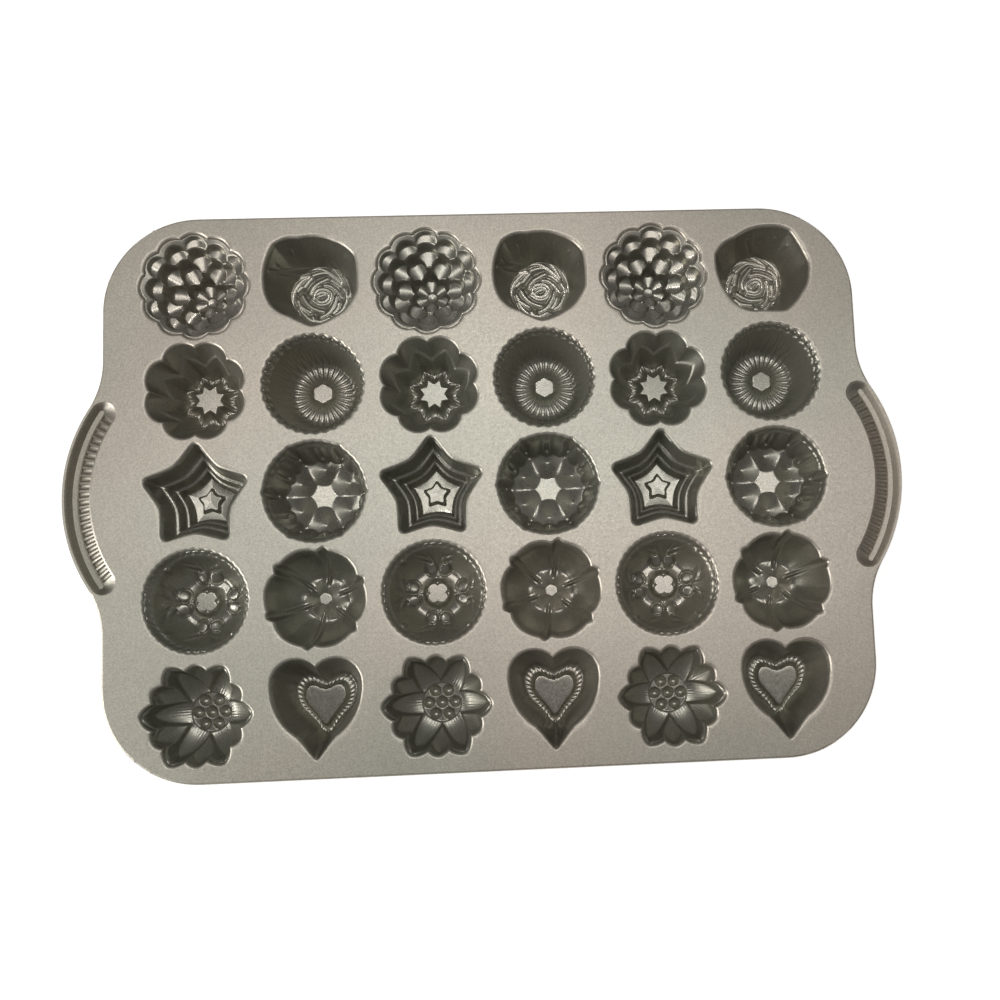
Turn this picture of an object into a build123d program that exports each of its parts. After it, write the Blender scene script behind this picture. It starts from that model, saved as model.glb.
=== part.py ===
from build123d import *
import os
from dataclasses import dataclass, field
from math import atan2, cos, degrees, hypot, radians, sin, sqrt, tan
from typing import Callable

# Tea cake pan: one aluminium casting with thirty ornamental cups, six columns by five rows.
# Millimetres. +X runs from handle to handle, +Y to the back row, +Z up.
# The pan stands on z = 0 with the bottoms of its deepest cups.

# Deck: the webs left between neighbouring cups and at the edges set its size
columns = 6
column_web = 2.8
row_web = 1.7
side_margin = 15.2
edge_web = 6.9
corner_radius = 45.0

# Casting thicknesses
deck_thickness = 3.0
cup_wall = 2.4
lip_height = 6.0
lip_thickness = 3.0
edge_rounding = 1.2
mouth_bevel = 0.7

# Forms that the cups share
full_depth = 22.0
bowl_bands = 3
bowl_curve = 1.5
boss_draft = 35.0
hexagon_corner = 0.3

# Dahlia: rings of petals, each ring lower and turned by half a petal
dahlia_reach = 26.1
dahlia_rings = 5
dahlia_ledge = 2.2
dahlia_draft = 21.0
dahlia_notch = 1.8

# Rose: swept petal walls round a bud of turned, nested petals
rose_reach = 22.2
rose_wall_depth = 19.0
rose_floor_reach = 16.4
rose_bud_turns = (100, 135, 172)
rose_bud_ledge = 2.4
rose_bud_draft = 40.0
rose_bud_notch = 1.6
rose_petals = (
    (0, 0.0), (30, 2.0), (62, 0.2), (98, -0.4), (118, 2.0), (138, 3.0), (165, 0.8),
    (190, 0.4), (215, -0.4), (243, -2.0), (268, 0.3), (300, -0.6), (335, -0.2),
)
rose_copy_turns = (0, 0, 25)

# Star flower: eight round lobes, a ledge, and a bowl round a raised star
flower_reach = 24.1
flower_depth = 19.5
flower_notch = 2.9
flower_ledge_depth = 5.0
flower_ledge = 2.2
flower_draft = 22.0
flower_floor_reach = 10.9
flower_star_reach = 7.0
flower_star_height = 2.0
flower_star_share = 0.8

# Fluted cup: a roped rim and flutes that run down to a raised six-sided middle
fluted_reach = 24.0
fluted_count = 33
fluted_notch = 0.7
fluted_band_depth = 3.0
fluted_ledge = 0.9
fluted_draft = 12.0
fluted_floor_reach = 10.8
fluted_boss_reach = 4.7
fluted_boss_height = 4.0

# Star: five points in three terraces, with a small raised star in the middle
star_reach = 25.7
star_depth = 20.5
star_terrace_depths = (9.0, 15.0)
star_ledge = 2.4
star_draft = 22.0
star_side_share = 0.7
star_tip_radius = 1.2
star_boss_reach = 4.2
star_boss_height = 2.5

# Rosette: six soft corners, an arcaded band and six round petal hollows
rosette_reach = 24.7
rosette_depth = 19.5
rosette_corner = 0.6
rosette_band_depth = 6.0
rosette_draft = 15.0
rosette_ledge = 1.2
rosette_arches = 18
rosette_arch_notch = 0.9
rosette_floor_reach = 13.5
rosette_petal_ring = 10.8
rosette_petal_radius = 6.6
rosette_petal_depth = 1.5

# Medallion: a roped rim and a ring of palmette lobes round a raised four-lobed middle
medallion_reach = 24.3
medallion_depth = 17.5
medallion_band_depth = 3.0
medallion_ledge = 1.1
medallion_draft = 12.0
medallion_lobes = 8
medallion_notch = 1.0
medallion_floor_reach = 11.7
medallion_boss_reach = 5.2
medallion_boss_height = 4.4
medallion_boss_notch = 1.6

# Pumpkin: six swelling ribs with small pointed ears, round a small raised middle
pumpkin_reach = 24.3
pumpkin_depth = 20.5
pumpkin_notch = 2.4
pumpkin_shoulder = 1.3
pumpkin_swell = 0.7
pumpkin_ear_turn = 20.0
pumpkin_ear_rise = 6.0
pumpkin_ear_fall = 8.0
pumpkin_floor_reach = 12.4
pumpkin_boss_reach = 3.0
pumpkin_boss_height = 2.2

# Sunflower: long and short petals round a sunk disc with a ring of seed dimples
sunflower_reach = 25.6
sunflower_notch = 4.4
sunflower_short_petal = 2.2
sunflower_petal_depth = 9.5
sunflower_draft = 15.0
sunflower_leaf_depth = 17.5
sunflower_leaf_share = 0.62
sunflower_leaf_reach = 22.2
sunflower_leaf_draft = 38.0
sunflower_disc_reach = 10.2
sunflower_seed_ring = 6.4
sunflower_seed_radius = 2.9
sunflower_seed_depth = 0.9

# Heart: a smooth heart with a groove round a raised heart-shaped middle
heart_depth = 18.5
heart_notch = 18.9
heart_tip = 23.6
heart_tip_side = (1.2, -22.9)
heart_lobe = (11.8, 22.6)
heart_shoulder = (21.1, 8.5)
heart_flank = (16.9, -5.2)
heart_waist = (8.6, -13.4)
heart_draft = 20.0
heart_groove_reach = 14.3
heart_groove_depth = 2.0
heart_boss_reach = 9.3
heart_boss_height = 1.5

# Side handles: a flat bow outside the body, with a thumb groove along it
handle_bow_radius = 80.0
handle_projection = 18.5
handle_blend_radius = 43.0
groove_margin = 1.6
groove_width = 12.0
groove_floor_width = 2.2
groove_depth = 3.6
groove_wall = 2.2
groove_half_angle = 33.0
groove_outer_run = 1.8
groove_flutes = 22
flute_radius = 1.8
flute_depth = 0.7
flute_end_margin = 0.9

deck_top = full_depth + cup_wall
deck_underside = deck_top - deck_thickness
heart_reach = heart_shoulder[0]


def polar(radius, angle):
    """Point at a radius and an angle in degrees from +X."""
    return (radius * cos(radians(angle)), radius * sin(radians(angle)))


def lean(drop, draft):
    """How far a wall runs inward over a drop, at a draft in degrees."""
    return drop * tan(radians(draft))


def outline_of(edges):
    """Flat face inside a closed run of edges."""
    return Face(Wire(edges))


# Cup outlines, each a function of the reach and of the wall that the outside adds to it
def round_outline(reach, wall=0.0):
    return outline_of([Edge.make_circle(reach + wall)])


def scalloped(petals, notch, turn=0.0):
    """Outward arcs that meet at notches; a petal points along the turn. The outside is round."""
    step = 360 / petals

    def draw(reach, wall=0.0):
        if wall:
            return round_outline(reach, wall)
        arcs = []
        for k in range(petals):
            middle = turn + k * step
            start, end = polar(reach - notch, middle - step / 2), polar(reach - notch, middle + step / 2)
            arcs.append(Edge.make_three_point_arc(start, polar(reach, middle), end))
        return outline_of(arcs)

    return draw


def soft_cornered(corners, rise, turn=0.0):
    """Circle with low corners, the first of them along the turn angle. The outside is round."""
    return scalloped(corners, -rise, turn + 180 / corners)


def pointed_star(points, side_share, tip_radius=0.0, turn=90.0):
    """Points joined by sides that bow in to a share of the reach."""
    step = 360 / points

    def draw(reach, wall=0.0):
        arcs = []
        for k in range(points):
            tip = turn + k * step
            start, end = polar(reach + wall, tip), polar(reach + wall, tip + step)
            side = polar(side_share * reach + wall, tip + step / 2)
            arcs.append(Edge.make_three_point_arc(start, side, end))
        face = outline_of(arcs)
        return fillet(face.vertices(), tip_radius + wall) if tip_radius else face

    return draw


def sunflower_outline(reach, wall=0.0):
    """Six long petals with a shorter one between each pair. The outside is round."""
    if wall:
        return round_outline(reach, wall)
    root = reach - sunflower_notch
    arcs = []
    for k in range(12):
        middle = 30 * k
        tip = reach if k % 2 == 0 else reach - sunflower_short_petal
        start, end = polar(root, middle - 15), polar(root, middle + 15)
        arcs.append(Edge.make_three_point_arc(start, polar(tip, middle), end))
    return outline_of(arcs)


def pumpkin_outline(reach, wall=0.0):
    """Six broad ribs, each ended by a small ear that leans one way. The outside is round."""
    if wall:
        return round_outline(reach, wall)
    edges = []
    for k in range(6):
        ear = pumpkin_ear_turn + 60 * k
        next_ear = ear + 60
        notch = polar(reach - pumpkin_notch, ear + pumpkin_ear_fall)
        next_notch = polar(reach - pumpkin_notch, next_ear + pumpkin_ear_fall)
        shoulder = polar(reach - pumpkin_shoulder, next_ear - pumpkin_ear_rise)
        middle = ear + (60 + pumpkin_ear_fall - pumpkin_ear_rise) / 2
        edges.append(Edge.make_three_point_arc(notch, polar(reach - pumpkin_swell, middle), shoulder))
        edges.append(Edge.make_line(shoulder, polar(reach, next_ear)))
        edges.append(Edge.make_line(polar(reach, next_ear), next_notch))
    return outline_of(edges)


def rose_outline(reach, wall=0.0):
    """Loose petals: a full corner at the upper left, a lesser one at the right."""
    corners = [polar(reach + wall + bulge, angle) for angle, bulge in rose_petals]
    return outline_of([Edge.make_spline(corners, periodic=True)])


def heart_outline(reach, wall=0.0):
    """Two round lobes, bowed sides and a rounded tip; the reach is half the width."""
    scale = reach / heart_reach
    right = [
        Edge.make_three_point_arc((0, heart_notch), heart_lobe, heart_shoulder),
        Edge.make_three_point_arc(heart_shoulder, heart_flank, heart_waist),
        Edge.make_line(heart_waist, heart_tip_side),
    ]
    left = [edge.mirror(Plane.YZ) for edge in right]
    tip_left = (-heart_tip_side[0], heart_tip_side[1])
    tip = Edge.make_three_point_arc(heart_tip_side, (0, -heart_tip), tip_left)
    face = outline_of(right + [tip] + left).scale(scale)
    return offset(face, wall) if wall else face


@dataclass
class Tier:
    """One step of a cup: an outline that tapers between two depths."""

    outline: Callable
    top_depth: float
    bottom_depth: float
    top_reach: float
    bottom_reach: float

    def solid(self, wall=0.0):
        upper = Pos(0, 0, deck_top - self.top_depth) * self.outline(self.top_reach, wall)
        lower = Pos(0, 0, deck_top - self.bottom_depth - wall) * self.outline(self.bottom_reach, wall)
        return loft([upper, lower], ruled=True)


@dataclass
class Cup:
    """A cup's name, the place of its middle in its cell, and its forms.

    The tiers are its steps and the bosses its raised middle. Hollows sink into its floor, and
    the pads thicken the casting below them.
    """

    name: str
    shift: tuple
    tiers: list
    bosses: list = field(default_factory=list)
    hollows: list = field(default_factory=list)
    pads: list = field(default_factory=list)
    copy_turns: tuple = (0, 0, 0)

    def mouth(self):
        return self.tiers[0].outline(self.tiers[0].top_reach).bounding_box()

    def back(self):
        return self.shift[1] + self.mouth().max.Y

    def front(self):
        return self.shift[1] + self.mouth().min.Y


def mouth_tier(outline, reach):
    """Bevelled edge of the deck round a cup."""
    return Tier(outline, 0, mouth_bevel, reach, reach - mouth_bevel)


def terraces(outlines, reach, top, depths, ledge, draft):
    """Walls that lean in from depth to depth, one outline each, with a ledge below each wall."""
    tiers = []
    for outline, bottom in zip(outlines, depths):
        foot = reach - lean(bottom - top, draft)
        tiers.append(Tier(outline, top, bottom, reach, foot))
        top, reach = bottom, foot - ledge
    return tiers


def bowl(outline, reach, top, bottom, floor_reach):
    """Wall that is steep at the top and flatter towards the floor."""
    def station(band):
        share = band / bowl_bands
        return top + share * (bottom - top), floor_reach + (reach - floor_reach) * (1 - share ** bowl_curve)

    tiers = []
    for band in range(bowl_bands):
        (upper, upper_reach), (lower, lower_reach) = station(band), station(band + 1)
        tiers.append(Tier(outline, upper, lower, upper_reach, lower_reach))
    return tiers


def boss(outline, depth, height, reach):
    """Raised middle that flares down to the floor."""
    return Tier(outline, depth - height, depth, reach, reach + lean(height, boss_draft))


def dimple(ring, angle, radius, depth):
    """Ball that hollows the floor at a place on a ring, down to a depth."""
    place = polar(ring, angle)
    return Pos(place[0], place[1], deck_top - depth + radius) * Sphere(radius)


def dahlia_cup():
    rim, rim_turned = scalloped(12, dahlia_notch), scalloped(12, dahlia_notch, 15)
    petals, petals_turned = scalloped(6, dahlia_notch), scalloped(6, dahlia_notch, 30)
    outlines = [rim, rim_turned, petals_turned, petals, petals_turned]
    depths = [full_depth * (ring + 1) / dahlia_rings for ring in range(dahlia_rings)]
    wall = terraces(outlines, dahlia_reach - mouth_bevel, mouth_bevel, depths, dahlia_ledge, dahlia_draft)
    return Cup("dahlia", (0, -0.9), [mouth_tier(rim, dahlia_reach)] + wall)


def rose_cup():
    tiers = [mouth_tier(rose_outline, rose_reach)]
    tiers += bowl(rose_outline, rose_reach - mouth_bevel, mouth_bevel, rose_wall_depth, rose_floor_reach)
    bud = [scalloped(5, rose_bud_notch, turn) for turn in rose_bud_turns]
    bud_step = (full_depth - rose_wall_depth) / len(bud)
    depths = [rose_wall_depth + bud_step * (ring + 1) for ring in range(len(bud))]
    bud_reach = rose_floor_reach - rose_bud_notch
    tiers += terraces(bud, bud_reach, rose_wall_depth, depths, rose_bud_ledge, rose_bud_draft)
    return Cup("rose", (-0.1, 0.8), tiers, copy_turns=rose_copy_turns)


def star_flower_cup():
    lobes = scalloped(8, flower_notch, 22.5)
    tiers = [mouth_tier(lobes, flower_reach)]
    tiers += terraces([lobes], flower_reach - mouth_bevel, mouth_bevel, [flower_ledge_depth], 0, flower_draft)
    bowl_reach = tiers[-1].bottom_reach - flower_ledge
    tiers += bowl(lobes, bowl_reach, flower_ledge_depth, flower_depth, flower_floor_reach)
    star = pointed_star(8, flower_star_share, turn=22.5)
    raised = boss(star, flower_depth, flower_star_height, flower_star_reach)
    return Cup("star_flower", (0.1, -1.1), tiers, [raised])


def fluted_cup():
    flutes = scalloped(fluted_count, fluted_notch)
    tiers = [mouth_tier(flutes, fluted_reach)]
    tiers += terraces([flutes], fluted_reach - mouth_bevel, mouth_bevel, [fluted_band_depth], 0, fluted_draft)
    bowl_reach = tiers[-1].bottom_reach - fluted_ledge
    tiers += bowl(flutes, bowl_reach, fluted_band_depth, full_depth, fluted_floor_reach)
    hexagon = soft_cornered(6, hexagon_corner)
    raised = boss(hexagon, full_depth, fluted_boss_height, fluted_boss_reach)
    return Cup("fluted", (0.1, 0.9), tiers, [raised])


def star_cup():
    star = pointed_star(5, star_side_share, star_tip_radius)
    depths = [*star_terrace_depths, star_depth]
    tiers = [mouth_tier(star, star_reach)]
    tiers += terraces([star] * 3, star_reach - mouth_bevel, mouth_bevel, depths, star_ledge, star_draft)
    raised = boss(pointed_star(5, star_side_share), star_depth, star_boss_height, star_boss_reach)
    return Cup("star", (0, -0.6), tiers, [raised])


def rosette_cup():
    rim, arcade = soft_cornered(6, rosette_corner), scalloped(rosette_arches, rosette_arch_notch)
    tiers = [mouth_tier(rim, rosette_reach)]
    tiers += terraces([rim], rosette_reach - mouth_bevel, mouth_bevel, [rosette_band_depth], 0, rosette_draft)
    bowl_reach = tiers[-1].bottom_reach - rosette_ledge
    floor_depth = rosette_depth - rosette_petal_depth
    tiers += bowl(arcade, bowl_reach, rosette_band_depth, floor_depth, rosette_floor_reach)
    petals = [dimple(rosette_petal_ring, 30 + 60 * k, rosette_petal_radius, rosette_depth) for k in range(6)]
    pad = Tier(round_outline, floor_depth, rosette_depth, rosette_floor_reach, rosette_floor_reach)
    return Cup("rosette", (0.1, 0), tiers, hollows=petals, pads=[pad])


def medallion_cup():
    tiers = [mouth_tier(round_outline, medallion_reach)]
    band_reach = medallion_reach - mouth_bevel
    tiers += terraces([round_outline], band_reach, mouth_bevel, [medallion_band_depth], 0, medallion_draft)
    bowl_reach = tiers[-1].bottom_reach - medallion_ledge
    palmettes = scalloped(medallion_lobes, medallion_notch, 180 / medallion_lobes)
    tiers += bowl(palmettes, bowl_reach, medallion_band_depth, medallion_depth, medallion_floor_reach)
    quatrefoil = scalloped(4, medallion_boss_notch, 45)
    raised = boss(quatrefoil, medallion_depth, medallion_boss_height, medallion_boss_reach)
    return Cup("medallion", (-0.1, 1.0), tiers, [raised])


def pumpkin_cup():
    tiers = [mouth_tier(pumpkin_outline, pumpkin_reach)]
    wall_reach = pumpkin_reach - mouth_bevel
    tiers += bowl(pumpkin_outline, wall_reach, mouth_bevel, pumpkin_depth, pumpkin_floor_reach)
    hexagon = soft_cornered(6, hexagon_corner)
    raised = boss(hexagon, pumpkin_depth, pumpkin_boss_height, pumpkin_boss_reach)
    return Cup("pumpkin", (-0.2, 0.4), tiers, [raised])


def sunflower_cup():
    petals, leaves = sunflower_outline, pointed_star(6, sunflower_leaf_share, turn=0)
    leaf_top, leaf_foot = sunflower_petal_depth, sunflower_leaf_depth
    disc_depth = full_depth - sunflower_seed_depth
    tiers = [mouth_tier(petals, sunflower_reach)]
    tiers += terraces([petals], sunflower_reach - mouth_bevel, mouth_bevel, [leaf_top], 0, sunflower_draft)
    tiers += terraces([leaves], sunflower_leaf_reach, leaf_top, [leaf_foot], 0, sunflower_leaf_draft)
    tiers += terraces([round_outline], sunflower_disc_reach, leaf_foot, [disc_depth], 0, sunflower_draft)
    seeds = [dimple(0, 0, sunflower_seed_radius, full_depth)]
    seeds += [dimple(sunflower_seed_ring, 60 * k, sunflower_seed_radius, full_depth) for k in range(6)]
    pad = Tier(round_outline, disc_depth, full_depth, sunflower_disc_reach, sunflower_disc_reach)
    return Cup("sunflower", (0, -0.9), tiers, hollows=seeds, pads=[pad])


def heart_cup():
    wall_foot = heart_depth - heart_groove_depth
    tiers = [mouth_tier(heart_outline, heart_reach)]
    tiers += terraces([heart_outline], heart_reach - mouth_bevel, mouth_bevel, [wall_foot], 0, heart_draft)
    tiers += terraces([heart_outline], heart_groove_reach, wall_foot, [heart_depth], 0, boss_draft)
    raised = boss(heart_outline, heart_depth, heart_boss_height, heart_boss_reach)
    return Cup("heart", (-0.5, 0.5), tiers, [raised])


# The two kinds of column, each from the back row to the front row
column_kinds = (
    (dahlia_cup(), star_flower_cup(), star_cup(), medallion_cup(), sunflower_cup()),
    (rose_cup(), fluted_cup(), rosette_cup(), pumpkin_cup(), heart_cup()),
)
rows = len(column_kinds[0])
all_cups = [cup for kind in column_kinds for cup in kind]
neighbours = [pair for kind in column_kinds for pair in zip(kind[:-1], kind[1:])]

column_pitch = 2 * max(cup.mouth().max.X for cup in all_cups) + column_web
row_pitch = max(ahead.back() - behind.front() for behind, ahead in neighbours) + row_web
grid_half_length = columns * column_pitch / 2
grid_middle_rows = (rows - 1) / 2
back_cup_edge = grid_middle_rows * row_pitch + max(kind[0].back() for kind in column_kinds)
front_cup_edge = -grid_middle_rows * row_pitch + min(kind[-1].front() for kind in column_kinds)
grid_back = back_cup_edge + column_web / 2
grid_front = front_cup_edge - column_web / 2

body_length = 2 * (grid_half_length + side_margin)
body_width = 2 * (back_cup_edge + edge_web)
bow_centre = body_length / 2 + handle_projection - handle_bow_radius
blend_x = body_length / 2 + handle_blend_radius
blend_y = sqrt((handle_bow_radius + handle_blend_radius) ** 2 - (blend_x - bow_centre) ** 2)


def slab(x_low, x_high, y_low, y_high, z_low=0.0, z_high=deck_top):
    """Box between two corners."""
    size = Box(x_high - x_low, y_high - y_low, z_high - z_low)
    return Pos((x_low + x_high) / 2, (y_low + y_high) / 2, (z_low + z_high) / 2) * size


def deck_outline():
    """Plan of the whole deck: rounded body with a bow blended in at each end."""
    blend_lean = atan2(blend_y, blend_x - bow_centre)
    meet = (bow_centre + handle_bow_radius * cos(blend_lean), handle_bow_radius * sin(blend_lean))
    blend_middle = (
        blend_x - handle_blend_radius * cos(blend_lean / 2),
        blend_y - handle_blend_radius * sin(blend_lean / 2),
    )
    edge = body_length / 2
    inner = edge - side_margin
    bow = outline_of([
        Edge.make_line((inner, -blend_y), (edge, -blend_y)),
        Edge.make_three_point_arc((edge, -blend_y), (blend_middle[0], -blend_middle[1]), (meet[0], -meet[1])),
        Edge.make_three_point_arc((meet[0], -meet[1]), (edge + handle_projection, 0), meet),
        Edge.make_three_point_arc(meet, blend_middle, (edge, blend_y)),
        Edge.make_line((edge, blend_y), (inner, blend_y)),
        Edge.make_line((inner, blend_y), (inner, -blend_y)),
    ])
    return RectangleRounded(body_length, body_width, corner_radius) + bow + Rot(0, 0, 180) * bow


def groove_slot(middle_radius, width, height):
    """Curved slot along the right-hand bow, at one height."""
    start, end = polar(middle_radius, -groove_half_angle), polar(middle_radius, groove_half_angle)
    arc = Edge.make_three_point_arc(start, (middle_radius, 0), end)
    return Pos(bow_centre, 0, height) * SlotArc(arc, width)


def groove_solid(wall=0.0):
    """Thumb groove: steep outside, easy slope inside; with a wall it is the bead below it."""
    outer_radius = handle_bow_radius - groove_margin
    top_middle = outer_radius - groove_width / 2
    floor_middle = outer_radius - groove_outer_run - groove_floor_width / 2
    top = groove_slot(top_middle, groove_width + wall, deck_top)
    floor = groove_slot(floor_middle, groove_floor_width + wall, deck_top - groove_depth - wall)
    return loft([top, floor], ruled=True)


def groove_flute_cuts():
    """Round flutes down the inner slope of the groove."""
    slope_top = handle_bow_radius - groove_margin - groove_width
    slope_foot = handle_bow_radius - groove_margin - groove_outer_run - groove_floor_width
    run = slope_foot - slope_top
    tilt = 90 + degrees(atan2(groove_depth, run))
    length = hypot(run, groove_depth) - 2 * flute_end_margin
    flute = Rot(0, tilt, 0) * Pos(-(flute_radius - flute_depth), 0, 0) * Cylinder(flute_radius, length)
    cuts = []
    for k in range(groove_flutes):
        angle = groove_half_angle * (2 * (k + 0.5) / groove_flutes - 1)
        middle = Pos((slope_top + slope_foot) / 2, 0, deck_top - groove_depth / 2)
        cuts.append(Pos(bow_centre, 0, 0) * Rot(0, 0, angle) * middle * flute)
    return cuts


def cast_blank():
    """Deck outline drawn down to the table, with its top edge rounded."""
    block = extrude(deck_outline(), deck_top)
    return fillet(block.edges().group_by(Axis.Z)[-1], edge_rounding)


def cast_lip(blank):
    """Turned-down lip all round the deck."""
    inner = extrude(offset(deck_outline(), -lip_thickness), deck_top)
    far = body_length
    return blank & slab(-far, far, -far, far, deck_top - lip_height) - inner


def cast_deck(blank, lip):
    """Deck outside the cups, with its lip and thumb grooves, before it is divided."""
    far = body_length
    deck = (blank & slab(-far, far, -far, far, deck_underside)) + lip
    cuts = [groove_solid()] + groove_flute_cuts()
    for turn in (0, 180):
        deck += Rot(0, 0, turn) * groove_solid(groove_wall)
        deck -= [Rot(0, 0, turn) * cut for cut in cuts]
    return deck


def divided_deck(deck):
    """The deck border as the regions that a person would name."""
    far = body_length
    regions = {
        "back_rim": slab(-grid_half_length, grid_half_length, grid_back, far),
        "front_rim": slab(-grid_half_length, grid_half_length, -far, grid_front),
    }
    for side, x_low, x_high in (("left", -far, -grid_half_length), ("right", grid_half_length, far)):
        regions[side + "_handle"] = slab(x_low, x_high, -blend_y, blend_y)
        regions["back_" + side + "_corner"] = slab(x_low, x_high, blend_y, far)
        regions["front_" + side + "_corner"] = slab(x_low, x_high, -far, -blend_y)
    return {name: deck & region for name, region in regions.items()}


def cast_cup(cup):
    """Shell, cavity and raised middle of one cup, round its own middle."""
    shell = Part() + [tier.solid(cup_wall) for tier in cup.tiers + cup.pads]
    cavity = Part() + [tier.solid() for tier in cup.tiers] + cup.hollows
    raised = [tier.solid() for tier in cup.bosses]
    return shell, cavity, raised


def row_seams(kind, row):
    """Front and back of a row's cells: halfway across the web to the next cup."""
    def middle(index):
        return (grid_middle_rows - index) * row_pitch

    def seam(index):
        return (middle(index) + kind[index].front() + middle(index + 1) + kind[index + 1].back()) / 2

    back = grid_back if row == 0 else seam(row - 1)
    front = grid_front if row == rows - 1 else seam(row)
    return middle(row), front, back


os.makedirs("parts", exist_ok=True)
blank = cast_blank()
lip = cast_lip(blank)
for name, region in divided_deck(cast_deck(blank, lip)).items():
    export_step(region, f"parts/{name}.step")

for kind_index, kind in enumerate(column_kinds):
    for row, cup in enumerate(kind):
        shell, cavity, raised = cast_cup(cup)
        middle_y, front, back = row_seams(kind, row)
        for copy, turn in enumerate(cup.copy_turns):
            middle_x = (kind_index + 2 * copy + 0.5) * column_pitch - grid_half_length
            place = Pos(middle_x + cup.shift[0], middle_y + cup.shift[1], 0) * Rot(0, 0, turn)
            left, right = middle_x - column_pitch / 2, middle_x + column_pitch / 2
            cell = slab(left, right, front, back)
            cell_deck = slab(left, right, front, back, deck_underside)
            casting = (place * shell & cell) + cell_deck - place * cavity
            casting += [place * tier for tier in raised]
            casting = (casting & blank) + (lip & cell)
            export_step(casting, f"parts/{cup.name}_cup_{copy + 1}.step")
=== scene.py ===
from functools import cache
from itertools import product
from math import cos, pi, radians, sin
from types import SimpleNamespace

import bmesh
import bpy
import numpy as np
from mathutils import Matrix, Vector


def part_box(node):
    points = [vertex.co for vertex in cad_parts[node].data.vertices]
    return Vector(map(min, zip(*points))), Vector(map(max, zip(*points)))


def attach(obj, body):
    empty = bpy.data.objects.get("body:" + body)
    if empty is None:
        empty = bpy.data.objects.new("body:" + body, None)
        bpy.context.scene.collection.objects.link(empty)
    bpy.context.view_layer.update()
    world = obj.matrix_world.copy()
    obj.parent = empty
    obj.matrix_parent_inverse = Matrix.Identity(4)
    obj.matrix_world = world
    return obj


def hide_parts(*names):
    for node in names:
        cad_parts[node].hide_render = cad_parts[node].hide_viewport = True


# Tea cake pan. Sizes are in millimetres until a mesh is finished, then in metres.
# Each cup is one skin, spun from a line of points and then pressed into its design.
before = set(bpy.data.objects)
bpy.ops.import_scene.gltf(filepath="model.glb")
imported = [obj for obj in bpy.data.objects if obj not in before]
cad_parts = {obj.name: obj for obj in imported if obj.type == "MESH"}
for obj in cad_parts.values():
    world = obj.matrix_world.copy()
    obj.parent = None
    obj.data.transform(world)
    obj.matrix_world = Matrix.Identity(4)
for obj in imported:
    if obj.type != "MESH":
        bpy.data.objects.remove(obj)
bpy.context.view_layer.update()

millimetre = 0.001
columns, rows = 6, 5
column_pitch, row_pitch = 55.0, 50.73
body_length, body_width, corner_radius = 360.4, 267.12, 45.0
deck_top = 24.4
deck_thickness = 3.0
cup_wall = 2.4
edge_rounding, lip_height, lip_thickness = 1.2, 6.0, 3.0

# Thumb groove of a handle: how far out its arc is centred, and how far from there it reaches
bow_centre, groove_reach = 118.7, 78.4

# The rounded edge of a cup: how far past the rim line, and how deep
rim_rounding = ((-0.80, 1.40), (-0.62, 1.02), (-0.30, 0.62), (0.08, 0.30), (0.46, 0.09), (0.82, 0.0))
wall_top_out, wall_top_depth = rim_rounding[0]

# Rings on the deck, as shares of the way from a cup's rim to the edge of its cell
deck_shares = (0.12, 0.55)

# Over the edge of a cell: shares of the rounding in and down at the pan's corner, and the drop elsewhere
edge_steps = ((1.0, 0.0, 0.0), (0.3, 0.3, 0.1), (0.0, 1.0, 0.2))

# Rings under the edge step in by a little, so that no two share a place
underside_step = 0.05

# Outside of a cup: depths of its rings, room left at the cell's edge, and the turn to the foot, in and up
shell_depths = (3.0, 4.6, 7.0, 10.0, 13.0, 16.0, 18.5)
shell_room = 0.4
foot_rounding = ((0.5, 0.7), (1.6, 0.0))

# Rings of a well lie closer towards the rim, the more so the smaller this power is
ring_power = 0.92

# Larger than any distance on the pan, and deeper than any well
far_away, below_any_well = 1e9, 30.0


# Directions, outlines and curves that the cups share
def near(angle, count, start=0.0):
    """Angle to the nearest of count equal directions, one of which points to start degrees."""
    step = 2 * pi / count
    return (angle - radians(start) + step / 2) % step - step / 2


def degrees_off(angle, count, start):
    """Degrees to the nearest of count equal directions, to either side."""
    return np.degrees(np.abs(near(angle, count, start)))


def turn_share(angle, count, start=0.0):
    """0 in each of count equal directions, and 1 midway between them."""
    return np.abs(near(angle, count, start)) / (pi / count)


def from_axis(grid, count, start=0.0):
    """Distances along and across the nearest of count equal directions."""
    angle = near(grid.angle, count, start)
    return grid.radius * np.cos(angle), grid.radius * np.sin(angle)


def lobes(angle, count, start, notch, tip, power=2.0):
    """Reach of a lobed outline whose lobes point to start degrees and meet at notches."""
    return notch + (tip - notch) * (1 - turn_share(angle, count, start) ** power)


def straight(value, stations):
    """Straight rises through (place, height) stations."""
    return np.interp(value, *zip(*stations))


def around(angle, stations, soften=2.0):
    """Reach through (degrees, reach) stations, closed and softened."""
    step, spread = 0.5, 12
    circle = np.arange(0, 360, step)
    closed = straight(circle, (*stations, (stations[0][0] + 360, stations[0][1])))
    weight = np.exp(-(np.arange(-spread, spread + step, step) / soften) ** 2)
    margin = int(spread / step)
    padded = np.concatenate([closed[-margin:], closed, closed[:margin]])
    smooth = np.convolve(padded, weight / weight.sum(), mode="valid")
    return np.interp(np.degrees(angle) % 360, np.append(circle, 360), np.append(smooth, smooth[0]))


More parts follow.
